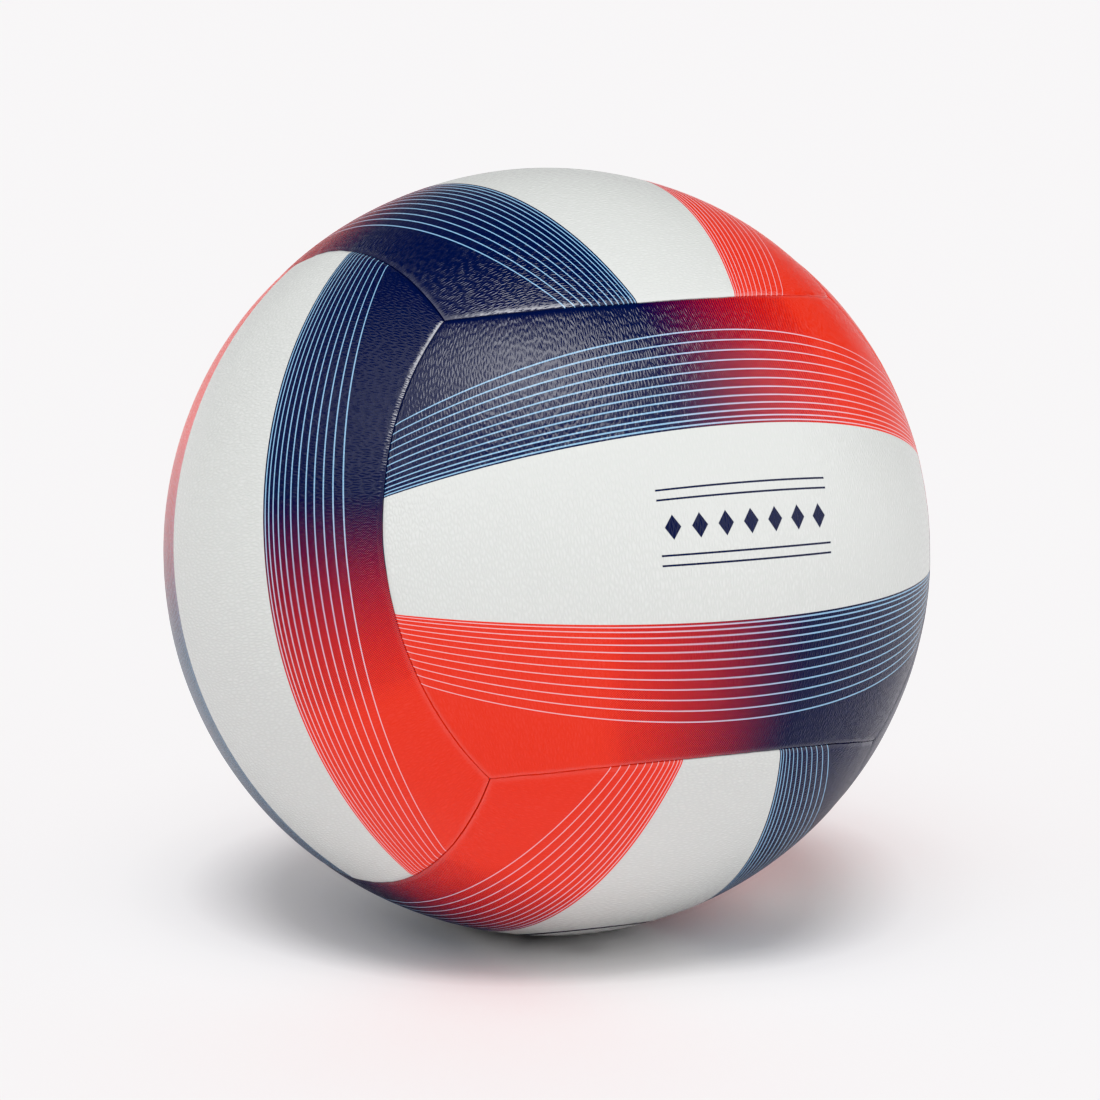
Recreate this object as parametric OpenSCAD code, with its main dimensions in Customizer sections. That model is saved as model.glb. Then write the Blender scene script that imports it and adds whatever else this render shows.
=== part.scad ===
// A stitched volleyball with six panels. Millimetres, +Z up, the origin at the ball's middle.
// The front panel faces -Y before the ball is laid, and every other panel is a turned copy of it.

/* [Ball] */
// Diameter of the pumped-up ball
ball_d = 210; // [196:0.5:214]
// Direction that the ball leans from, as a turn about the upright axis
lay_turn = -30.7; // [-180:0.1:180]
// Lean of the top panel's middle to the back
lean_back = 15.8; // [0:0.1:45]
// Lean of the top panel's middle to the left
lean_left = 5.7; // [0:0.1:45]

/* [Panels] */
// Thickness of the synthetic leather
cover_t = 1.2; // [0.9:0.1:1.5]
// Radius of the rolled edge along a seam
shoulder_r = 4.4; // [3.8:0.1:4.8]
// Width of the rolled edge, from the seam to the round of the ball
shoulder_run = 3; // [2.6:0.1:3.4]
// Gap between the turned edges of two panels
seam_gap = 0.2; // [0.1:0.05:0.4]
// Thickness of the foam pad
foam_t = 2.6; // [2:0.1:3.2]
// Thickness of the cloth lining
lining_t = 0.7; // [0.5:0.1:1]
// Thickness of the glue between two layers
glue_t = 0.1; // [0.05:0.05:0.2]

/* [Seam thread] */
// Diameter of the thread
thread_d = 0.6; // [0.4:0.1:0.8]
// Depth of the thread below the round of the ball
thread_depth = 3; // [2.6:0.1:3.6]
// Distance from a corner of three panels to the knot of a thread
knot_gap = 1.5; // [1:0.1:4]
// Clearance around the thread in its channel
thread_clear = 0.05; // [0.02:0.01:0.1]

/* [Bladder] */
// Thickness of the rubber bladder
bladder_t = 0.7; // [0.5:0.1:1.2]
// Space between the lining and the pumped-up bladder
bladder_clear = 0.1; // [0.05:0.05:0.3]

/* [Valve] */
// Diameter of the valve seat's disc
seat_d = 26; // [20:0.5:32]
// Thickness of the valve seat's disc
seat_t = 1.2; // [0.8:0.1:2]
// Diameter of the valve seat's stem
stem_d = 9; // [8:0.1:10]
// Length of the stem inside the disc
stem_run = 9; // [6:0.5:12]
// Diameter of the plug's head
plug_head_d = 7; // [6.6:0.1:7.8]
// Thickness of the plug's head
plug_head_t = 1; // [0.8:0.1:1.1]
// Diameter of the plug's shank
plug_d = 5.6; // [5:0.1:6]
// Length of the plug's shank
plug_len = 15; // [13:0.5:18]
// Diameter of the needle's hole
needle_d = 2.2; // [1.8:0.1:2.6]
// Length of the needle's hole below its mouth
needle_len = 12; // [9:0.5:12]
// Diameter of the needle's mouth
mouth_d = 3.6; // [3:0.1:4.4]
// Depth of the needle's mouth
mouth_depth = 0.8; // [0.4:0.1:0.9]
// Clearance around the plug, the stem and the head
valve_clear = 0.1; // [0.05:0.05:0.2]
// Diameter of the cloth patch round the valve
patch_d = 34; // [28:0.5:40]
// Thickness of the cloth patch
patch_t = 0.3; // [0.2:0.05:0.35]

/* [Hidden] */
$fn = 96;

// Where the seams run: each is a quarter of a circle cut by a plane at 1/sqrt(3) of the radius
right_angle = 90;
third_turn = 120;
half_turn = 180;
seam_share = 1 / sqrt(3);
seam_angle = asin(seam_share);

// Radius of each layer, from the outside in
ball_r = ball_d / 2;
foam_r = ball_r - cover_t - glue_t;
lining_r = foam_r - foam_t - glue_t;
hem_r = lining_r - lining_t;
bladder_r = hem_r - bladder_clear;
air_r = bladder_r - bladder_t;
disc_r = air_r - glue_t;
seat_r = disc_r - seat_t;
thread_r = ball_r - thread_depth;
patch_r = hem_r + patch_t;

// Half gap and turned edge, seen across a seam
cover_edge = seam_gap / 2;
cavity_edge = cover_edge + cover_t;
foam_edge = cavity_edge + glue_t;

// Rise of the rolled edge over the round of the ball, where it starts with a faint crease
shoulder_rise = 0.05;

// How far cutting shapes run past what they cut
reach = 2 * ball_d;
cut_over = 1;

// The angle at the ball's middle that a length spans on the ball's surface
function angle_of(len) = len / ball_r * half_turn / PI;

// The ball as it lies on the ground
module as_it_lies() {
    rotate([0, 0, lay_turn])
        rotate([-lean_back, 0, 0])
            rotate([0, -lean_left, 0])
                rotate([0, 0, -lay_turn])
                    children();
}

// Turns a front piece to its own side: 0 front, 1 left, 2 bottom, or the side opposite
module on_side(turns, opposite) {
    as_it_lies()
        rotate(a = -third_turn * turns, v = [1, 1, 1])
            rotate([0, 0, opposite ? half_turn : 0])
                children();
}

// A flat slice from the ball's middle, between two angles from level
module wedge(low, high) {
    polygon([
        [0, 0],
        reach * [cos(low), sin(low)],
        reach * [cos(high), sin(high)]
    ]);
}

// A round of the ball's own curve between two radii, up to an angle from its middle
module disc_sector(r_out, r_in, spread) {
    intersection() {
        difference() {
            circle(r_out);
            circle(r_in);
        }
        wedge(right_angle - spread, right_angle);
    }
}

// What a seam at angle low takes away above it, with the rolled edge that it leaves below
module rolled_cut(r_out, low, edge_r, edge_run) {
    centre_r = r_out - edge_r + shoulder_rise;
    roll = asin(edge_run / centre_r);
    difference() {
        wedge(low - roll, right_angle);
        intersection() {
            union() {
                rotate([0, 0, low - roll])
                    translate([centre_r, 0])
                        circle(edge_r);
                circle(centre_r * cos(roll));
            }
            wedge(low - 2 * roll, low);
        }
    }
}

// What a seam at angle low takes away above it, square to the ball
module square_cut(low) {
    wedge(low, right_angle);
}

// A layer between two radii, cut by the seams above and below it and then by the seam round its end
module panel_layer(r_out, r_in, inset, edge_r = 0, edge_run = 0) {
    trim = angle_of(inset);
    difference() {
        difference() {
            sphere(r_out);
            sphere(r_in);
            for (side = [0, 1])
                mirror([0, 0, side])
                    seam_cut(r_out, seam_angle - trim, edge_r, edge_run);
        }
        rotate([-right_angle, 0, 0])
            seam_cut(r_out, -seam_angle - trim, edge_r, edge_run);
    }
}

module seam_cut(r_out, low, edge_r, edge_run) {
    rotate_extrude()
        if (edge_r > 0)
            rolled_cut(r_out, low, edge_r, edge_run);
        else
            square_cut(low);
}

// The round section of the thread or of its channel, on the seam
module thread_section(d) {
    rotate([0, 0, seam_angle])
        translate([thread_r, 0])
            circle(d / 2);
}

// The channel that the turned edges leave for the thread, along one whole seam circle
module thread_ring(d) {
    rotate_extrude()
        thread_section(d);
}

// A round hole through the front panel's middle
module valve_hole(d) {
    rotate([right_angle, 0, 0])
        cylinder(h = reach, d = d);
}

module cover() {
    channel_d = thread_d + 2 * thread_clear;
    color("whitesmoke")
        difference() {
            difference() {
                panel_layer(ball_r, hem_r, cover_edge, shoulder_r, shoulder_run);
                rotate([right_angle, 0, 0])
                    thread_ring(channel_d);
            }
            panel_layer(ball_r - cover_t, hem_r - cut_over, cavity_edge,
                shoulder_r - cover_t, shoulder_run - cover_t);
            for (side = [0, 1])
                mirror([0, 0, side])
                    thread_ring(channel_d);
        }
}

module foam() {
    edge_cut = cover_t + glue_t;
    color("khaki")
        panel_layer(foam_r, lining_r + glue_t, foam_edge,
            shoulder_r - edge_cut, shoulder_run - edge_cut);
}

module lining() {
    color("linen")
        panel_layer(lining_r, hem_r, foam_edge);
}

// The thread along the front panel's upper seam, or its lower one
module thread(lower) {
    arc = right_angle - 2 * angle_of(knot_gap) / cos(seam_angle);
    color("gainsboro")
        mirror([0, 0, lower ? 1 : 0])
            rotate([0, 0, -right_angle - arc / 2])
                rotate_extrude(angle = arc)
                    thread_section(thread_d);
}

module bladder() {
    color("dimgray")
        on_side(2, false)
            difference() {
                sphere(bladder_r);
                sphere(air_r);
                valve_hole(stem_d + 2 * valve_clear);
            }
}

// The disc under the bladder's wall and the stem that holds the plug
module valve_seat() {
    stem_top = foam_r - glue_t;
    color("darkslategray")
        on_side(2, false)
            difference() {
                rotate([right_angle, 0, 0])
                    rotate_extrude() {
                        disc_sector(disc_r, seat_r, angle_of(seat_d / 2));
                        translate([0, seat_r - stem_run])
                            square([stem_d / 2, stem_top - seat_r + stem_run]);
                    }
                valve_hole(plug_d + 2 * valve_clear);
            }
}

// The plug: a head in the cover's hole, a shank in the stem and the hole for the needle
module valve_plug() {
    head_base = foam_r;
    head_top = head_base + plug_head_t;
    shank_end = head_base - plug_len;
    hole_end = head_top - mouth_depth - needle_len;
    color("black")
        on_side(2, false)
            rotate([right_angle, 0, 0])
                rotate_extrude()
                    difference() {
                        union() {
                            translate([0, head_base])
                                square([plug_head_d / 2, plug_head_t]);
                            translate([0, shank_end])
                                square([plug_d / 2, plug_len + plug_head_t]);
                        }
                        translate([0, hole_end])
                            square([needle_d / 2, needle_len + mouth_depth]);
                        polygon([
                            [0, head_top - mouth_depth],
                            [needle_d / 2, head_top - mouth_depth],
                            [mouth_d / 2, head_top],
                            [0, head_top]
                        ]);
                    }
}

// The cloth patch, let into the lining round the stem
module valve_patch() {
    color("tan")
        on_side(2, false)
            difference() {
                rotate([right_angle, 0, 0])
                    rotate_extrude()
                        disc_sector(patch_r, hem_r, angle_of(patch_d / 2));
                valve_hole(stem_d + 2 * valve_clear);
            }
}

// What the bottom panel's layers leave out for the valve
module cover_bottom() {
    on_side(2, false)
        difference() {
            cover();
            valve_hole(plug_head_d + 2 * valve_clear);
        }
}

module foam_bottom() {
    on_side(2, false)
        difference() {
            foam();
            valve_hole(stem_d + 2 * valve_clear);
        }
}

module lining_bottom() {
    on_side(2, false)
        difference() {
            lining();
            valve_hole(stem_d + 2 * valve_clear);
            rotate([right_angle, 0, 0])
                rotate_extrude()
                    disc_sector(patch_r + glue_t, hem_r - cut_over, angle_of(patch_d / 2 + glue_t));
        }
}

on_side(0, false) cover();  // cover_front
on_side(0, true) cover();  // cover_back
on_side(1, false) cover();  // cover_left
on_side(1, true) cover();  // cover_right
on_side(2, true) cover();  // cover_top
cover_bottom();
on_side(0, false) foam();  // foam_front
on_side(0, true) foam();  // foam_back
on_side(1, false) foam();  // foam_left
on_side(1, true) foam();  // foam_right
on_side(2, true) foam();  // foam_top
foam_bottom();
on_side(0, false) lining();  // lining_front
on_side(0, true) lining();  // lining_back
on_side(1, false) lining();  // lining_left
on_side(1, true) lining();  // lining_right
on_side(2, true) lining();  // lining_top
lining_bottom();
on_side(0, false) thread(false);  // thread_front_top
on_side(0, false) thread(true);  // thread_front_bottom
on_side(0, true) thread(false);  // thread_back_top
on_side(0, true) thread(true);  // thread_back_bottom
on_side(1, false) thread(true);  // thread_left_front
on_side(1, false) thread(false);  // thread_left_back
on_side(1, true) thread(true);  // thread_right_front
on_side(1, true) thread(false);  // thread_right_back
on_side(2, true) thread(true);  // thread_top_left
on_side(2, true) thread(false);  // thread_top_right
on_side(2, false) thread(true);  // thread_bottom_left
on_side(2, false) thread(false);  // thread_bottom_right
bladder();
valve_seat();
valve_plug();
valve_patch();
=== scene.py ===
import bpy
import math
from mathutils import Matrix, Vector, noise


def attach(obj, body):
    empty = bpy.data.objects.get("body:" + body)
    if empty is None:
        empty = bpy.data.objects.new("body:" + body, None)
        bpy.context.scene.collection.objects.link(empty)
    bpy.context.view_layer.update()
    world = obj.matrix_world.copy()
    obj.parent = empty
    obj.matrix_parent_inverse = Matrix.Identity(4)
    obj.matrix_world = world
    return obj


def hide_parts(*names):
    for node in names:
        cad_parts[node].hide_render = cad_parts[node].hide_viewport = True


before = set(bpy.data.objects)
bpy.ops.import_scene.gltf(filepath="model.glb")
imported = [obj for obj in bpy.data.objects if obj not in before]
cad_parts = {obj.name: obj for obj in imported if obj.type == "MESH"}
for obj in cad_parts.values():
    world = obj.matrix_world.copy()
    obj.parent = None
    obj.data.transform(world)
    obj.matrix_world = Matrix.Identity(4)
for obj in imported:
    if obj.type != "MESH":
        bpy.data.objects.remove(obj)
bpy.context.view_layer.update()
print("frame loaded:", len(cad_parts), "nodes")

# Everything is in metres, with the ball's middle at the origin.
mm = 0.001
ball = {
    "radius": 105 * mm,
    "layTurn": -30.7,  # degrees, the way that the ball leans from
    "leanBack": 15.8,
    "leanLeft": 5.7,
}
seamAngle = math.asin(1 / math.sqrt(3))  # every seam circle lies this far from level
sides = {  # third turns round the front-left-top corner, then a half turn for the side opposite
    "front": (0, False),
    "back": (0, True),
    "left": (1, False),
    "right": (1, True),
    "bottom": (2, False),
    "top": (2, True),
}


# small helpers

def clearSelection():
    if bpy.context.object and bpy.context.object.mode != "OBJECT":
        bpy.ops.object.mode_set(mode="OBJECT")
    bpy.ops.object.select_all(action="DESELECT")


def workOn(piece):
    clearSelection()
    piece.select_set(True)
    bpy.context.view_layer.objects.active = piece


def useModifier(piece, kind, **settings):
    workOn(piece)
    made = piece.modifiers.new(kind.title(), kind)
    for key, value in settings.items():
        setattr(made, key, value)
    bpy.ops.object.modifier_apply(modifier=made.name)


def smoothStep(low, high, value):
    t = min(max((value - low) / (high - low), 0.0), 1.0)
    return t * t * (3 - 2 * t)


def directionTo(azimuth, elevation):  # degrees from the front to the right, and up
    turn, rise = math.radians(azimuth), math.radians(elevation)
    level = Vector((math.sin(turn), -math.cos(turn), 0)) * math.cos(rise)
    return level + Vector((0, 0, math.sin(rise)))


def colourOf(hexText):  # an sRGB hex value as the linear colour that a socket takes
    channels = [int(hexText[i:i + 2], 16) / 255 for i in (0, 2, 4)]
    linear = [c / 12.92 if c <= 0.04045 else ((c + 0.055) / 1.055) ** 2.4 for c in channels]
    return (*linear, 1.0)


# Adds one node and gives back its output, the first or the one named in out. The values go to its
# inputs in their order. A setting with a capital is an input's name, any other is the node's own.
def addNode(tree, kind, *values, out=None, **settings):
    made = tree.nodes.new("ShaderNode" + kind)
    named = {key.replace("_", " "): value for key, value in settings.items() if key[0].isupper()}
    for key, value in settings.items():
        if key[0].islower():
            setattr(made, key, value)
    filled = list(zip([socket for socket in made.inputs if socket.enabled], values))
    filled += [(made.inputs[key], value) for key, value in named.items()]
    for socket, value in filled:
        if isinstance(value, bpy.types.NodeSocket):
            tree.links.new(value, socket)
        else:
            socket.default_value = value
    if out:
        return made.outputs[out]
    return next((socket for socket in made.outputs if socket.enabled), None)


def edgeMask(tree, distance, soft):  # 1 where the distance is over zero, 0 under it, with a soft step
    return addNode(tree, "Clamp", addNode(tree, "Math", distance, 1 / soft, 0.5, operation="MULTIPLY_ADD"))


def newMaterial(name, **sockets):
    made = bpy.data.materials.new(name)
    made.use_nodes = True
    made.node_tree.nodes.clear()
    shader = addNode(made.node_tree, "BsdfPrincipled", **sockets)
    addNode(made.node_tree, "OutputMaterial", shader)
    return made, made.node_tree, shader.node


# the camera, where the photographer's stood

camera = {
    "distance": 1948.5 * mm,
    "azimuth": -30.72,
    "elevation": 14.05,
    "lens": 232.9, "sensor": 36,
    "shift": (0.00275, 0.00134),  # the ball sits 3 px left and 1.5 px low in 1100
    "near": 0.05, "far": 60,
}


def placeCamera():
    data = bpy.data.cameras.new("studioCamera")
    data.lens, data.sensor_width = camera["lens"], camera["sensor"]
    data.shift_x, data.shift_y = camera["shift"]
    data.clip_start, data.clip_end = camera["near"], camera["far"]
    made = bpy.data.objects.new("studioCamera", data)
    bpy.context.scene.collection.objects.link(made)
    back = directionTo(camera["azimuth"], camera["elevation"])
    made.location = back * camera["distance"]
    made.rotation_mode = "QUATERNION"
    made.rotation_quaternion = (-back).to_track_quat("-Z", "Y")
    bpy.context.scene.camera = made


placeCamera()
print("camera placed")


# the six cover panels: one sheet on the front, facing -Y, copied to the other sides

panelShape = {
    "columns": 214,  # squares along the panel, an even number
    "rows": 150,  # squares across it, an even number
    "crowding": 0.4,  # how far the squares crowd towards the seams, 0 to 0.49
    "gap": 0.2 * mm,
    "rollRun": 2.4 * mm,  # the leather turns down into the seam over this width
    "rollDrop": 0.42 * mm,
    "rollPower": 2.5,
    "pillowRun": 6 * mm,  # and sinks a little over this one, where the thread pulls it
    "pillowDrop": 0.2 * mm,
    "cornerRun": 26 * mm,  # the fold is shallower near a corner of three panels
    "cornerShare": 0.7,
    "borderReach": 0.6 * mm,  # a point this near to a seam is on the sheet's border
    "hem": [  # radius of each loop of the turned edge, and how far it stands back for the thread
        (102.7 * mm, 0), (102.36 * mm, 0), (102.2 * mm, 0.25 * mm),
        (101.8 * mm, 0.25 * mm), (101.64 * mm, 0), (100.3 * mm, 0),
    ],
    "weld": 0.001 * mm,
    "wall": 1.2 * mm,
    "holeRadius": 3.6 * mm,  # round the valve, in the bottom panel alone
    "holeBlock": 4,  # squares from the middle to the hole's edge
    "holeBlend": 16 * mm,
}
handwork = {  # what pumping up and sewing leave on a real cover
    "swell": 0.1 * mm, "swellSize": 34 * mm,
    "pucker": 0.12 * mm, "puckerSize": 4.2 * mm, "puckerReach": 5.5 * mm,
    "pinch": 0.06 * mm, "pinchSize": 1.9 * mm, "pinchReach": 2.2 * mm,
    "wander": 0.25 * mm, "wanderSize": 17 * mm, "wanderReach": 8 * mm,
    "seamReach": 30 * mm,  # a seam moves nothing that is farther off
    "cornerStill": 1 * mm, "cornerCalm": 14 * mm,
    "heldRadius": 102.7 * mm, "freeRadius": 103.6 * mm,  # the thread holds what is below the first
    "seed": 7,  # for the wander, which would follow the clock without one
}


def crowded(share):
    return share * (1 + panelShape["crowding"] * (1 - share * share))


def seamFacts(along):  # along: a direction from the ball's middle, in the front sheet's frame
    radius = ball["radius"]
    toSide = radius * (seamAngle - abs(math.asin(along.z)))
    toEnd = radius * (math.asin(-along.y) - seamAngle)
    nearest = Vector((math.copysign(1, along.x), -1, math.copysign(1, along.z))).normalized()
    return toSide, toEnd, (along - nearest).length * radius


def seamDrop(along):
    s = panelShape
    toSide, toEnd, toCorner = seamFacts(along)
    deep = s["cornerShare"] + (1 - s["cornerShare"]) * smoothStep(0, s["cornerRun"], toCorner)
    drops = [
        max(0.0, 1 - toSeam / s["rollRun"]) ** s["rollPower"] * s["rollDrop"]
        + s["pillowDrop"] * math.exp(-toSeam / s["pillowRun"])
        for toSeam in (toSide, toEnd)
    ]
    return deep * math.hypot(*drops)


def roundHole(x, z, blockX, blockZ):  # pulls the middle squares' edge onto the valve hole's circle
    reach = max(abs(x) / blockX, abs(z) / blockZ)  # 1 on the block's edge
    flat = math.hypot(x, z)
    if flat == 0:
        return x, z
    blend = smoothStep(1, panelShape["holeBlend"] / blockX, reach)
    wanted = panelShape["holeRadius"] + (reach - 1) * blockX
    new = (1 - blend) * wanted + blend * flat
    return x / flat * new, z / flat * new


def onBorder(along, inset):  # the same place on the border, but this far from the seam's middle
    toSide, toEnd, _ = seamFacts(along)
    atSide, atEnd = (distance < panelShape["borderReach"] for distance in (toSide, toEnd))
    x, y, z = along
    if atSide:
        z = math.copysign(math.sin(seamAngle - inset / ball["radius"]), z)
    if atEnd:
        y = -math.sin(seamAngle + inset / ball["radius"])
    if atSide and atEnd:
        x = math.copysign(math.sqrt(1 - y * y - z * z), x)
    elif atEnd:
        k = math.sqrt(1 - y * y) / math.hypot(x, z)
        x, z = x * k, z * k
    else:
        k = math.sqrt(1 - z * z) / math.hypot(x, y)
        x, y = x * k, y * k
    return Vector((x, y, z))


def turnIn(sheet):  # the edge goes down the seam in loops, one extrusion each
    s, mesh = panelShape, sheet.data
    workOn(sheet)
    bpy.ops.object.mode_set(mode="EDIT")
    bpy.ops.mesh.select_mode(type="VERT")
    bpy.ops.mesh.select_all(action="DESELECT")
    bpy.ops.mesh.select_non_manifold()
    bpy.ops.object.mode_set(mode="OBJECT")
    for corner in mesh.vertices:  # the valve hole's edge stays
        if math.hypot(corner.co.x, corner.co.z) < s["holeBlend"]:
            corner.select = False
    for edge in mesh.edges:
        edge.select = all(mesh.vertices[i].select for i in edge.vertices) and edge.select
    for loopRadius, inset in s["hem"]:
        bpy.ops.object.mode_set(mode="EDIT")
        bpy.ops.mesh.extrude_region_move()
        bpy.ops.object.mode_set(mode="OBJECT")
        for corner in mesh.vertices:
            if corner.select:
                corner.co = onBorder(corner.co.normalized(), s["gap"] / 2 + inset) * loopRadius
    bpy.ops.object.mode_set(mode="EDIT")
    bpy.ops.mesh.select_all(action="SELECT")
    bpy.ops.mesh.remove_doubles(threshold=s["weld"])  # the points that met in the corners
    bpy.ops.object.mode_set(mode="OBJECT")


def modelSheet(name, withHole):
    s, radius = panelShape, ball["radius"]
    sideAngle = seamAngle - s["gap"] / 2 / radius
    endAngle = seamAngle + s["gap"] / 2 / radius
    clearSelection()
    bpy.ops.mesh.primitive_grid_add(x_subdivisions=s["columns"], y_subdivisions=s["rows"], size=2)
    sheet = bpy.context.object
    sheet.name = sheet.data.name = name
    mesh = sheet.data
    shareX, shareZ = 2 * s["holeBlock"] / s["columns"], 2 * s["holeBlock"] / s["rows"]
    if withHole:
        for thing in (*mesh.edges, *mesh.vertices):
            thing.select = False
        for square in mesh.polygons:
            square.select = abs(square.center.x) < shareX and abs(square.center.y) < shareZ
        bpy.ops.object.mode_set(mode="EDIT")
        bpy.ops.mesh.select_mode(type="FACE")
        bpy.ops.mesh.delete(type="FACE")
        bpy.ops.object.mode_set(mode="OBJECT")
    blockX = radius * math.acos(math.sin(endAngle)) * crowded(shareX)
    blockZ = radius * sideAngle * crowded(shareZ)
    for corner in mesh.vertices:
        up = sideAngle * crowded(corner.co.y)
        aside = math.acos(math.sin(endAngle) / math.cos(up)) * crowded(corner.co.x)
        if withHole:
            aside, up = (v / radius for v in roundHole(aside * radius, up * radius, blockX, blockZ))
        corner.co = (math.sin(aside) * math.cos(up), -math.cos(aside) * math.cos(up), math.sin(up))
    layout = mesh.uv_layers[0]  # the print is laid out in millimetres along and across the panel
    layout.name = "panelSheet"
    for loop in mesh.loops:
        x, y, z = mesh.vertices[loop.vertex_index].co
        layout.data[loop.index].uv = [radius / mm * math.atan2(offset, -y) for offset in (x, z)]
    toSeam = mesh.attributes.new("toSeam", "FLOAT", "POINT")  # mm to the nearest seam, for the grain
    for corner in mesh.vertices:
        toSeam.data[corner.index].value = min(seamFacts(corner.co)[:2]) / mm
        corner.co *= radius - seamDrop(corner.co)
    turnIn(sheet)
    outerCount = len(mesh.vertices)
    useModifier(sheet, "SOLIDIFY", thickness=s["wall"], offset=-1, use_even_offset=False, use_rim=True)
    print("sheet modelled:", name, len(sheet.data.vertices), "points")
    return sheet, outerCount


def turnTo(side):  # from the front sheet's frame to its side of the ball as it lies
    turns, opposite = sides[side]
    lie = (
        Matrix.Rotation(math.radians(ball["layTurn"]), 4, "Z")
        @ Matrix.Rotation(math.radians(-ball["leanBack"]), 4, "X")
        @ Matrix.Rotation(math.radians(-ball["leanLeft"]), 4, "Y")
        @ Matrix.Rotation(math.radians(-ball["layTurn"]), 4, "Z")
    )
    third = Matrix.Rotation(math.radians(-120 * turns), 4, Vector((1, 1, 1)))
    half = Matrix.Rotation(math.pi if opposite else 0, 4, "Z")
    return lie @ third @ half


def seamFeet(along):  # the nearest points on the side seam and on the end seam, as directions
    cosSeam, sinSeam = math.cos(seamAngle), math.sin(seamAngle)
    aside, rolled = math.atan2(along.x, -along.y), math.atan2(along.z, along.x)
    sideUp = math.copysign(sinSeam, along.z)
    onSide = Vector((math.sin(aside) * cosSeam, -math.cos(aside) * cosSeam, sideUp))
    onEnd = Vector((math.cos(rolled) * cosSeam, -sinSeam, math.sin(rolled) * cosSeam))
    return onSide, onEnd


def workByHand(panel, outerCount, turn):  # sculpt-like moves, the same on both sides of a seam
    h, radius = handwork, ball["radius"]
    for corner in panel.data.vertices[:outerCount]:
        along = corner.co.normalized()
        toSide, toEnd, toCorner = seamFacts(along)
        push = h["swell"] * noise.noise(turn @ along * (radius / h["swellSize"]))
        shift = Vector((0, 0, 0))
        calm = smoothStep(h["cornerStill"], h["cornerCalm"], toCorner)
        free = smoothStep(h["heldRadius"], h["freeRadius"], corner.co.length)
        for toSeam, foot in zip((toSide, toEnd), seamFeet(along)):
            if toSeam > h["seamReach"] or calm == 0:
                continue
            place = turn @ foot * radius
            for move in ("pucker", "pinch"):
                height = h[move] * noise.noise(place / h[move + "Size"])
                push += calm * height * math.exp(-toSeam / h[move + "Reach"])
            drift = h["wander"] * noise.noise_vector(place / h["wanderSize"])
            shift += calm * drift * math.exp(-toSeam / h["wanderReach"])
        corner.co += free * (along * push + turn.to_3x3().transposed() @ shift)


def makePanels():
    noise.seed_set(handwork["seed"])
    plain, plainCount = modelSheet("plainSheet", False)
    holed, holedCount = modelSheet("holedSheet", True)
    made = {}
    for side in sides:
        sheet, outerCount = (holed, holedCount) if side == "bottom" else (plain, plainCount)
        panel = sheet.copy()
        panel.data = sheet.data.copy()
        panel.name = panel.data.name = "panel" + side.title()
        bpy.context.scene.collection.objects.link(panel)
        turn = turnTo(side)
        workByHand(panel, outerCount, turn)
        panel.data.transform(turn)
        for face in panel.data.polygons:
            face.use_smooth = True
        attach(panel, "root")
        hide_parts("cover_" + side)
        made[side] = panel
        print("panel made:", side)
    for sheet in (plain, holed):
        bpy.data.objects.remove(sheet)
    return made


panels = makePanels()


# Embossed polyurethane leather, printed before it was cut: satin, with a fine grain that runs across
# the panel, so that a highlight breaks up into short streaks. The fold at a seam is pulled nearly
# smooth and glossy, and catches a brighter line.

leatherPrint = {
    "white": "BEC0BE",
    "navy": "050E34",
    "red": "D5301D",
    "paleBlue": "7DA3C0",
    "palePink": "E3B3B9",
    "whiteHalf": 25.84,  # mm from the panel's middle line to the coloured stripe
    "edgeSoft": 0.15,  # mm, how far the edge of a colour runs
    "fadeStart": -22, "fadeEnd": 55,  # mm along the stripe, from navy to red
    "dot": 0.5, "dotAngle": 45,  # mm and degrees, the dots of the fade
    "dotTone": 0.8, "dotSoft": 0.3,  # the tone that a dot's own area counts for, and its soft edge
    "dotGrowth": 1.04, "touchGrowth": 2.73,  # tone gained with the share, and more once dots touch
    "lineStart": 0.8,  # mm from the white to the first pinstripe
    "lineSpread": 0.7,  # 1 spaces them evenly, less sets them wider apart away from the white
    "lineCount": 12,
    "lineNavy": 0.22, "lineRed": 0.14,  # mm, half the width of a pinstripe on navy and on red
    "lineSoft": 0.1, "lineLeast": 0.01,  # mm, and where their count begins
    "ringRadius": 18, "ringHalf": 1.1,  # mm, the ring round the valve
}
diamondRow = {  # a plain navy ornament on the front and the back panel, in mm
    "half": 26.6, "pitch": 7.6, "wide": 2.3, "tall": 3.4,
    "ruleAt": (7.5, 10.2), "ruleHalf": 0.28, "ruleSoft": 0.12,
    "slopeSoft": 0.06,  # a share of the diamond
}
leatherGrain = {
    "across": 0.88, "along": 2.8,  # mm, the width and length of one wrinkle
    "bend": 0.4, "bendSize": 4.0,  # mm, how far the wrinkles wander and over what length
    "depth": 0.08 * mm, "plumpTo": 0.5,
    "fine": 0.5, "fineShare": 0.35,  # mm, and its height beside the wrinkles'
    "creaseShade": 0.08,  # painted shade: the grain's creases are darkened in the colour
    "roughness": 0.27, "foldRoughness": 0.22,
    "shine": 0.43,  # 0.5 is a clear varnish's; the embossing leaves less
    "foldShine": 0.9, "foldGrain": 0.4,  # pulled glossy and flatter there
    "foldEnd": 0.3, "grainStart": 1.8,  # mm from the seam, where the fold turns to full grain
}


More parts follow.
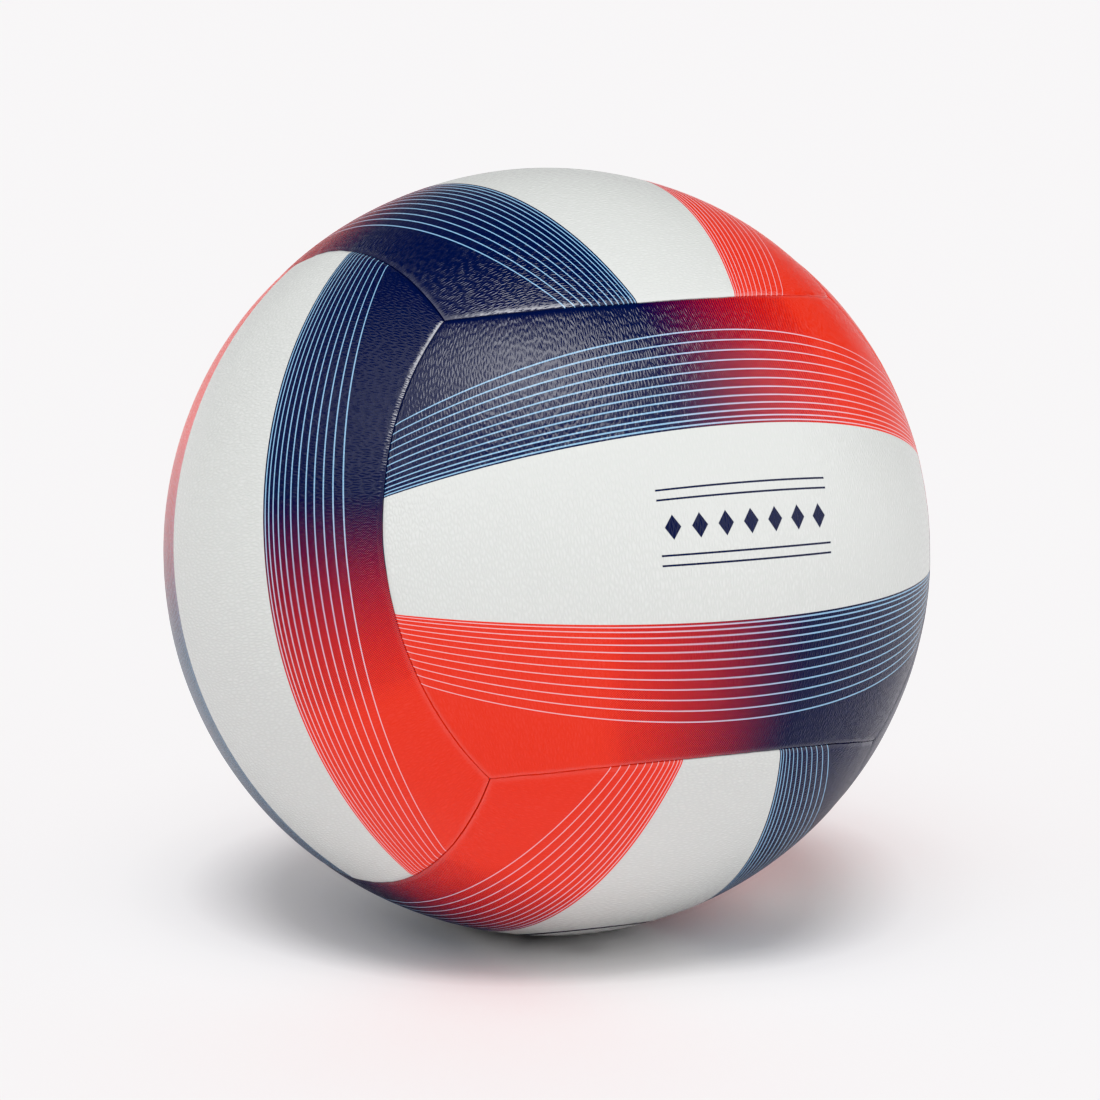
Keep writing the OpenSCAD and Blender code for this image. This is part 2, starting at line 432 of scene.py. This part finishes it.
def ornamentMask(tree, along, across):
    d = diamondRow
    aside = addNode(tree, "Math", along, operation="ABSOLUTE")
    outward = addNode(tree, "Math", across, operation="ABSOLUTE")
    left = addNode(tree, "Math", d["half"], aside, operation="SUBTRACT")
    inRow = edgeMask(tree, left, leatherPrint["edgeSoft"])
    count = addNode(tree, "Math", aside, d["pitch"], operation="DIVIDE")
    swing = addNode(tree, "Math", count, 0.5, operation="PINGPONG")
    fromMiddle = addNode(tree, "Math", swing, d["pitch"] / d["wide"], operation="MULTIPLY")
    rise = addNode(tree, "Math", outward, d["tall"], operation="DIVIDE")
    slope = addNode(tree, "Math", fromMiddle, rise, operation="ADD")
    mask = edgeMask(tree, addNode(tree, "Math", 1.0, slope, operation="SUBTRACT"), d["slopeSoft"])
    for place in d["ruleAt"]:
        offset = addNode(tree, "Math", outward, place, operation="SUBTRACT")
        off = addNode(tree, "Math", offset, operation="ABSOLUTE")
        inside = addNode(tree, "Math", d["ruleHalf"], off, operation="SUBTRACT")
        mask = addNode(tree, "Math", mask, edgeMask(tree, inside, d["ruleSoft"]), operation="MAXIMUM")
    return addNode(tree, "Math", mask, inRow, operation="MULTIPLY")


def fadeShare(tree, along, across):  # 0 where the stripe is navy, 1 where it is red
    p = leatherPrint
    half = addNode(tree, "Math", across, operation="SIGN")
    redward = addNode(tree, "Math", along, half, operation="MULTIPLY")
    return addNode(tree, "MapRange", redward, p["fadeStart"], p["fadeEnd"])


def fadeGround(tree, place, share):  # navy and red, mixed as dots that grow
    p = leatherPrint
    turned = addNode(tree, "Mapping", place, Rotation=(0, 0, math.radians(p["dotAngle"])))
    fromDot = addNode(tree, "TexVoronoi", turned, 1 / p["dot"], Randomness=0.0, voronoi_dimensions="2D")
    squared = addNode(tree, "Math", fromDot, fromDot, operation="MULTIPLY")
    level = addNode(tree, "Math", squared, math.pi * p["dotTone"], operation="MULTIPLY")
    # a dot's area follows the share, until neighbours touch and the last corners fill up
    over = addNode(tree, "Math", share, math.pi / 4, operation="SUBTRACT")
    touching = addNode(tree, "Math", over, 0.0, operation="MAXIMUM")
    grown = addNode(tree, "Math", share, p["dotGrowth"], -p["dotSoft"] / 2, operation="MULTIPLY_ADD")
    reach = addNode(tree, "Math", touching, p["touchGrowth"], grown, operation="MULTIPLY_ADD")
    red = edgeMask(tree, addNode(tree, "Math", reach, level, operation="SUBTRACT"), p["dotSoft"])
    return addNode(tree, "Mix", red, colourOf(p["navy"]), colourOf(p["red"]), data_type="RGBA")


def pinstripeMask(tree, intoColour, share):  # line k lies at lineStart * k ** (1 / lineSpread)
    p = leatherPrint
    least = addNode(tree, "Math", intoColour, p["lineLeast"], operation="MAXIMUM")
    steps = addNode(tree, "Math", least, p["lineStart"], operation="DIVIDE")
    count = addNode(tree, "Math", steps, p["lineSpread"], operation="POWER")
    spread = addNode(tree, "Math", count, p["lineSpread"], operation="MULTIPLY")
    pitch = addNode(tree, "Math", intoColour, spread, operation="DIVIDE")
    swing = addNode(tree, "Math", count, 0.5, operation="PINGPONG")
    offLine = addNode(tree, "Math", swing, pitch, operation="MULTIPLY")
    half = addNode(tree, "MapRange", share, To_Min=p["lineNavy"], To_Max=p["lineRed"])
    onLine = edgeMask(tree, addNode(tree, "Math", half, offLine, operation="SUBTRACT"), p["lineSoft"])
    offMiddle = addNode(tree, "Math", count, (p["lineCount"] + 1) / 2, operation="SUBTRACT")
    offBand = addNode(tree, "Math", offMiddle, operation="ABSOLUTE")
    inBand = addNode(tree, "Math", offBand, p["lineCount"] / 2, operation="LESS_THAN")
    return addNode(tree, "Math", onLine, inBand, operation="MULTIPLY")


def ringMask(tree, place):
    p = leatherPrint
    fromValve = addNode(tree, "VectorMath", place, operation="LENGTH")
    offset = addNode(tree, "Math", fromValve, p["ringRadius"], operation="SUBTRACT")
    offRing = addNode(tree, "Math", offset, operation="ABSOLUTE")
    inside = addNode(tree, "Math", p["ringHalf"], offRing, operation="SUBTRACT")
    return edgeMask(tree, inside, p["edgeSoft"])


def grainHeight(tree, place):
    g = leatherGrain
    warp = addNode(tree, "TexNoise", place, 1 / g["bendSize"], 1.0, out="Color", noise_dimensions="2D")
    bent = addNode(tree, "VectorMath", warp, (g["bend"], g["bend"], 0), place, operation="MULTIPLY_ADD")
    cells = addNode(tree, "Mapping", bent, Scale=(1 / g["across"], 1 / g["along"], 1))
    wrinkle = addNode(tree, "TexVoronoi", cells, 1.0, voronoi_dimensions="2D", feature="DISTANCE_TO_EDGE")
    plump = addNode(tree, "MapRange", wrinkle, From_Max=g["plumpTo"], interpolation_type="SMOOTHSTEP")
    fine = addNode(tree, "TexNoise", cells, g["across"] / g["fine"], 3.0, noise_dimensions="2D")
    return addNode(tree, "Math", fine, g["fineShare"], plump, operation="MULTIPLY_ADD")


def printedLeather(name, valveRing=False, ornament=False):
    p, g = leatherPrint, leatherGrain
    made, tree, shader = newMaterial(name, IOR=1.5)
    place = addNode(tree, "UVMap", uv_map="panelSheet")
    along, across, _ = addNode(tree, "SeparateXYZ", place).node.outputs
    outward = addNode(tree, "Math", across, operation="ABSOLUTE")
    intoColour = addNode(tree, "Math", outward, p["whiteHalf"], operation="SUBTRACT")
    coloured = edgeMask(tree, intoColour, p["edgeSoft"])
    share = fadeShare(tree, along, across)
    ground = fadeGround(tree, place, share)
    lines = addNode(tree, "Mix", share, colourOf(p["paleBlue"]), colourOf(p["palePink"]), data_type="RGBA")
    stripe = addNode(tree, "Mix", pinstripeMask(tree, intoColour, share), ground, lines, data_type="RGBA")
    colour = addNode(tree, "Mix", coloured, colourOf(p["white"]), stripe, data_type="RGBA")
    marks = [ornamentMask(tree, along, across)] if ornament else []
    marks += [ringMask(tree, place)] if valveRing else []
    for mark in marks:
        colour = addNode(tree, "Mix", mark, colour, colourOf(p["navy"]), data_type="RGBA")
    height = grainHeight(tree, place)
    # painted shade: the colour is darkened in the grain's creases, where shadow would fall
    paintedCreaseShade = addNode(tree, "MapRange", height, To_Min=1 - g["creaseShade"])
    shaded = addNode(tree, "Mix", 1.0, colour, paintedCreaseShade, data_type="RGBA", blend_type="MULTIPLY")
    toSeam = addNode(tree, "Attribute", out="Fac", attribute_name="toSeam")
    grained = addNode(tree, "MapRange", toSeam, g["foldEnd"], g["grainStart"],
                      interpolation_type="SMOOTHSTEP")
    roughness = addNode(tree, "MapRange", grained, To_Min=g["foldRoughness"], To_Max=g["roughness"])
    shine = addNode(tree, "MapRange", grained, To_Min=g["foldShine"], To_Max=g["shine"])
    depthShare = addNode(tree, "MapRange", grained, To_Min=g["foldGrain"])
    bump = addNode(tree, "Bump", Height=height, Distance=g["depth"], Strength=depthShare)
    tree.links.new(shaded, shader.inputs["Base Color"])
    tree.links.new(roughness, shader.inputs["Roughness"])
    tree.links.new(shine, shader.inputs["Specular IOR Level"])
    tree.links.new(bump, shader.inputs["Normal"])
    return made


leathers = {
    "plain": printedLeather("printedPolyurethaneLeather"),
    "ringed": printedLeather("printedPolyurethaneLeatherRinged", valveRing=True),
    "ornate": printedLeather("printedPolyurethaneLeatherOrnate", ornament=True),
}
printedAs = {"front": "ornate", "back": "ornate", "bottom": "ringed"}
for side, panel in panels.items():
    panel.data.materials.clear()
    panel.data.materials.append(leathers[printedAs.get(side, "plain")])
print("cover printed")


# the seam threads, down between the turned edges: two plies twisted round each other

seamThread = {
    "ply": 0.14 * mm,  # radius of one ply
    "apart": 0.15 * mm,  # from the thread's middle to the middle of a ply
    "lay": 1.9 * mm,  # length of one twist
    "plySides": 6, "stepsPerTwist": 8,
    "deep": 3 * mm,  # below the round of the ball
    "knotGap": 1.5 * mm,  # from the corner of three panels to the thread's end
    "light": "B4B7BC", "dark": "84878E", "fibre": 0.09 * mm,
}
seamsOf = {  # which neighbours meet the upper and the lower seam of a sheet
    "front": ("top", "bottom"), "back": ("top", "bottom"), "left": ("back", "front"),
    "right": ("back", "front"), "top": ("right", "left"), "bottom": ("right", "left"),
}


def waxedThread():  # twisted polyester, waxed: fibres with a soft shine along the plies
    s = seamThread
    made, tree, shader = newMaterial("waxedPolyesterThread", Roughness=0.45, IOR=1.54)
    place = addNode(tree, "TexCoord", out="Object")
    fibres = addNode(tree, "TexNoise", place, 1 / s["fibre"], 2.0)
    colour = addNode(tree, "Mix", fibres, colourOf(s["dark"]), colourOf(s["light"]), data_type="RGBA")
    tree.links.new(colour, shader.inputs["Base Color"])
    bump = addNode(tree, "Bump", Height=fibres, Distance=s["fibre"] / 4)
    tree.links.new(bump, shader.inputs["Normal"])
    return made


def modelThread():  # on the front sheet's upper seam
    s = seamThread
    deepRadius = ball["radius"] - s["deep"]
    ring, level = deepRadius * math.cos(seamAngle), deepRadius * math.sin(seamAngle)
    arc = math.pi / 2 - 2 * s["knotGap"] / ball["radius"] / math.cos(seamAngle)
    twists = round(arc * ring / s["lay"])
    clearSelection()
    for way in (1, -1):
        place = (way * s["apart"], 0, 0)
        bpy.ops.mesh.primitive_circle_add(vertices=s["plySides"], radius=s["ply"], location=place)
        bpy.ops.object.transform_apply(location=True)
        if way == 1:
            thread = bpy.context.object
    thread.select_set(True)
    bpy.context.view_layer.objects.active = thread
    bpy.ops.object.join()
    useModifier(thread, "SCREW", angle=2 * math.pi, screw_offset=arc * ring / twists, iterations=twists,
                steps=s["stepsPerTwist"], render_steps=s["stepsPerTwist"], use_smooth_shade=True)
    bpy.ops.object.mode_set(mode="EDIT")
    bpy.ops.mesh.select_mode(type="EDGE")
    bpy.ops.mesh.select_all(action="DESELECT")
    bpy.ops.mesh.select_non_manifold()
    bpy.ops.mesh.edge_face_add()
    bpy.ops.object.mode_set(mode="OBJECT")
    for corner in thread.data.vertices:  # the straight twist is laid along the seam
        aside, up, along = corner.co
        turn = along / ring - arc / 2
        outward = ring + aside
        corner.co = (outward * math.sin(turn), -outward * math.cos(turn), level + up)
    workOn(thread)
    bpy.ops.object.mode_set(mode="EDIT")
    bpy.ops.mesh.select_all(action="SELECT")
    bpy.ops.mesh.normals_make_consistent(inside=False)
    bpy.ops.object.mode_set(mode="OBJECT")
    return thread


def makeThreads():
    first = modelThread()
    first.data.materials.append(waxedThread())
    for side, neighbours in seamsOf.items():
        for half, neighbour in enumerate(neighbours):
            thread = first.copy()
            thread.data = first.data.copy()
            thread.name = thread.data.name = "seamThread" + side.title() + neighbour.title()
            bpy.context.scene.collection.objects.link(thread)
            thread.data.transform(turnTo(side) @ Matrix.Rotation(math.pi * half, 4, "Y"))
            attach(thread, "root")
            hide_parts(f"thread_{side}_{neighbour}")
    bpy.data.objects.remove(first)
    print("threads made:", 2 * len(seamsOf))


makeThreads()


# the inside and the valve: the CAD's own pieces, each with the finish of the real one

foamLook = {
    "light": "E0D5AE", "dark": "C2B37F",
    "cell": 0.6 * mm, "cloud": 14 * mm,
    "cellShare": 0.7, "cloudShare": 0.6,  # how much the pits and the clouds lighten it
}
clothLook = {
    "lining": ("D6CFC0", "C3BAA6"), "patch": ("C9B48C", "B49D72"),  # warp and weft
    "pitch": 0.9 * mm,  # between threads, drawn coarser than the real 0.5 mm so that it shows
    "crimp": 0.16 * mm,
    "dip": 0.45,  # how far a thread sinks where the other crosses over it
    "shade": 0.5,
}
rubberLook = {
    "bladder": {"rubber": "1B1C1E", "dust": "4A4B4D", "roughness": 0.5},
    "valve": {"rubber": "141415", "dust": "232325", "roughness": 0.6},
    "plug": {"rubber": "101011", "dust": "1C1C1E", "roughness": 0.38},
    "cloud": 9 * mm, "grit": 0.25 * mm,
    "roughSpread": 0.2,  # between the clean rubber and the dusty
}


def closedCellFoam():  # split from a block: dull, with cut cells that show as fine pits
    f = foamLook
    made, tree, shader = newMaterial("splitClosedCellFoam", Roughness=0.85, IOR=1.45)
    place = addNode(tree, "TexCoord", out="Object")
    cells = addNode(tree, "TexVoronoi", place, 1 / f["cell"])
    clouds = addNode(tree, "TexNoise", place, 1 / f["cloud"], 3.0)
    clouded = addNode(tree, "Math", clouds, f["cloudShare"], operation="MULTIPLY")
    lightness = addNode(tree, "Math", cells, f["cellShare"], clouded, operation="MULTIPLY_ADD")
    share = addNode(tree, "Clamp", lightness)
    colour = addNode(tree, "Mix", share, colourOf(f["dark"]), colourOf(f["light"]), data_type="RGBA")
    tree.links.new(colour, shader.inputs["Base Color"])
    bump = addNode(tree, "Bump", Height=cells, Distance=f["cell"] / 4, Strength=0.7)
    tree.links.new(bump, shader.inputs["Normal"])
    return made


def wovenCloth(name, side, warpHex, weftHex):  # plain-woven cotton: matt, threads over and under
    c = clothLook
    made, tree, shader = newMaterial(name, Roughness=0.9, IOR=1.5)
    place = addNode(tree, "TexCoord", out="Object")
    toSheet = turnTo(side).to_3x3().transposed().to_euler()
    level = addNode(tree, "Mapping", place, Rotation=toSheet)
    x, y, z = addNode(tree, "SeparateXYZ", level).node.outputs
    ahead = addNode(tree, "Math", y, -1.0, operation="MULTIPLY")
    waves, whole = [], []
    for offset in (x, z):
        angle = addNode(tree, "Math", offset, ahead, operation="ARCTAN2")
        count = addNode(tree, "Math", angle, ball["radius"] / c["pitch"], operation="MULTIPLY")
        turned = addNode(tree, "Math", count, math.pi, operation="MULTIPLY")
        wave = addNode(tree, "Math", turned, operation="SINE")
        waves.append(addNode(tree, "Math", wave, operation="ABSOLUTE"))
        whole.append(addNode(tree, "Math", count, operation="FLOOR"))
    warp, weft = waves
    squares = addNode(tree, "Math", *whole, operation="ADD")
    over = addNode(tree, "Math", squares, 1.0, operation="PINGPONG")
    heights = []
    for own, other in ((weft, warp), (warp, weft)):
        held = addNode(tree, "Math", other, c["dip"], 1 - c["dip"], operation="MULTIPLY_ADD")
        heights.append(addNode(tree, "Math", own, held, operation="MULTIPLY"))
    height = addNode(tree, "Mix", over, *heights, data_type="FLOAT")
    thread = addNode(tree, "Mix", over, colourOf(weftHex), colourOf(warpHex), data_type="RGBA")
    shade = addNode(tree, "Math", height, c["shade"], 1 - c["shade"], operation="MULTIPLY_ADD")
    colour = addNode(tree, "Mix", 1.0, thread, shade, data_type="RGBA", blend_type="MULTIPLY")
    tree.links.new(colour, shader.inputs["Base Color"])
    bump = addNode(tree, "Bump", Height=height, Distance=c["crimp"], Strength=0.8)
    tree.links.new(bump, shader.inputs["Normal"])
    return made


def mouldedRubber(name, look):  # pressed in a hot mould and dusted: a dull black with greyer clouds
    r = rubberLook
    made, tree, shader = newMaterial(name, IOR=1.52)
    place = addNode(tree, "TexCoord", out="Object")
    clouds = addNode(tree, "TexNoise", place, 1 / r["cloud"], 5.0)
    grit = addNode(tree, "TexNoise", place, 1 / r["grit"], 2.0)
    colour = addNode(tree, "Mix", clouds, colourOf(look["rubber"]), colourOf(look["dust"]), data_type="RGBA")
    tree.links.new(colour, shader.inputs["Base Color"])
    least = look["roughness"] - r["roughSpread"] / 2
    roughness = addNode(tree, "Math", clouds, r["roughSpread"], least, operation="MULTIPLY_ADD")
    tree.links.new(roughness, shader.inputs["Roughness"])
    bump = addNode(tree, "Bump", Height=grit, Distance=r["grit"] / 8, Strength=0.5)
    tree.links.new(bump, shader.inputs["Normal"])
    return made


def finishInside():
    foam = closedCellFoam()
    finishes = {
        "bladder": mouldedRubber("mouldedButylRubber", rubberLook["bladder"]),
        "valve_seat": mouldedRubber("mouldedValveRubber", rubberLook["valve"]),
        "valve_plug": mouldedRubber("softMouldedPlugRubber", rubberLook["plug"]),
        "valve_patch": wovenCloth("wovenCottonPatch", "bottom", *clothLook["patch"]),
    }
    for side in sides:
        name = "wovenCottonLining" + side.title()
        finishes["foam_" + side] = foam
        finishes["lining_" + side] = wovenCloth(name, side, *clothLook["lining"])
    for node, finish in finishes.items():
        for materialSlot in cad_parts[node].material_slots:
            materialSlot.material = finish
    print("inside finished:", len(finishes), "nodes")


finishInside()


# the floor and the light

studio = {
    "floorSize": 16, "floorSides": 64,
    "floorDrop": 0.02 * mm,  # clear of the cover's small swells
    # the second floor colour is painted shade, the darker floor that glossy rays see
    "floorColour": "F9F7F8", "floorReflectedShade": "CBC9CA",
    "softboxes": {  # degrees to the right of the camera and up, width in degrees, strength
        "overhead": (0, 69, 38, 2.75),
        "right": (80, 20, 80, 2.15),
        "leftHigh": (-70, 45, 60, 1.35),
        "front": (-10, 11, 120, 1.4),
        "backWall": (180, 8, 70, 0.35),
        "leftWall": (-125, 8, 70, 0.4),
    },
    "roomColour": (1.3, 1.28, 1.29, 1.0),  # seen past the floor, and as bright as it is
    "view": "Khronos PBR Neutral",
}


# Matt paper sweep: no shine, so the background stays even. Painted shade: glossy rays see a darker
# floor colour, so the cover mirrors a dimmer floor than the camera sees.
def mattPaper():
    made, tree, shader = newMaterial("mattPaperFloor", Roughness=0.9, Specular_IOR_Level=0.0)
    mirrored = addNode(tree, "LightPath", out="Is Glossy Ray")
    colours = colourOf(studio["floorColour"]), colourOf(studio["floorReflectedShade"])
    tree.links.new(addNode(tree, "Mix", mirrored, *colours, data_type="RGBA"), shader.inputs["Base Color"])
    return made


def layFloor():
    clearSelection()
    level = -ball["radius"] - studio["floorDrop"]
    bpy.ops.mesh.primitive_circle_add(vertices=studio["floorSides"], radius=studio["floorSize"] / 2,
                                      fill_type="NGON", location=(0, 0, level))
    floor = bpy.context.object
    floor.name = "studioFloor"
    bpy.ops.object.transform_apply(location=True)
    floor.data.materials.append(mattPaper())


def hangSoftboxes():  # wide suns, each as large as its softbox looks from the ball
    for name, (aside, up, width, strength) in studio["softboxes"].items():
        data = bpy.data.lights.new(name + "Softbox", "SUN")
        data.angle, data.energy = math.radians(width), strength
        light = bpy.data.objects.new(name + "Softbox", data)
        bpy.context.scene.collection.objects.link(light)
        light.rotation_mode = "QUATERNION"
        light.rotation_quaternion = directionTo(camera["azimuth"] + aside, up).to_track_quat("Z", "Y")


def setRoom():  # seen by the camera only, so it lights nothing
    world = bpy.data.worlds.new("studioRoom")
    bpy.context.scene.world = world
    world.use_nodes = True
    tree = world.node_tree
    background = tree.nodes["Background"]
    background.inputs["Color"].default_value = studio["roomColour"]
    tree.links.new(addNode(tree, "LightPath", out="Is Camera Ray"), background.inputs["Strength"])
    bpy.context.scene.view_settings.view_transform = studio["view"]


layFloor()
hangSoftboxes()
setRoom()
print("studio set")
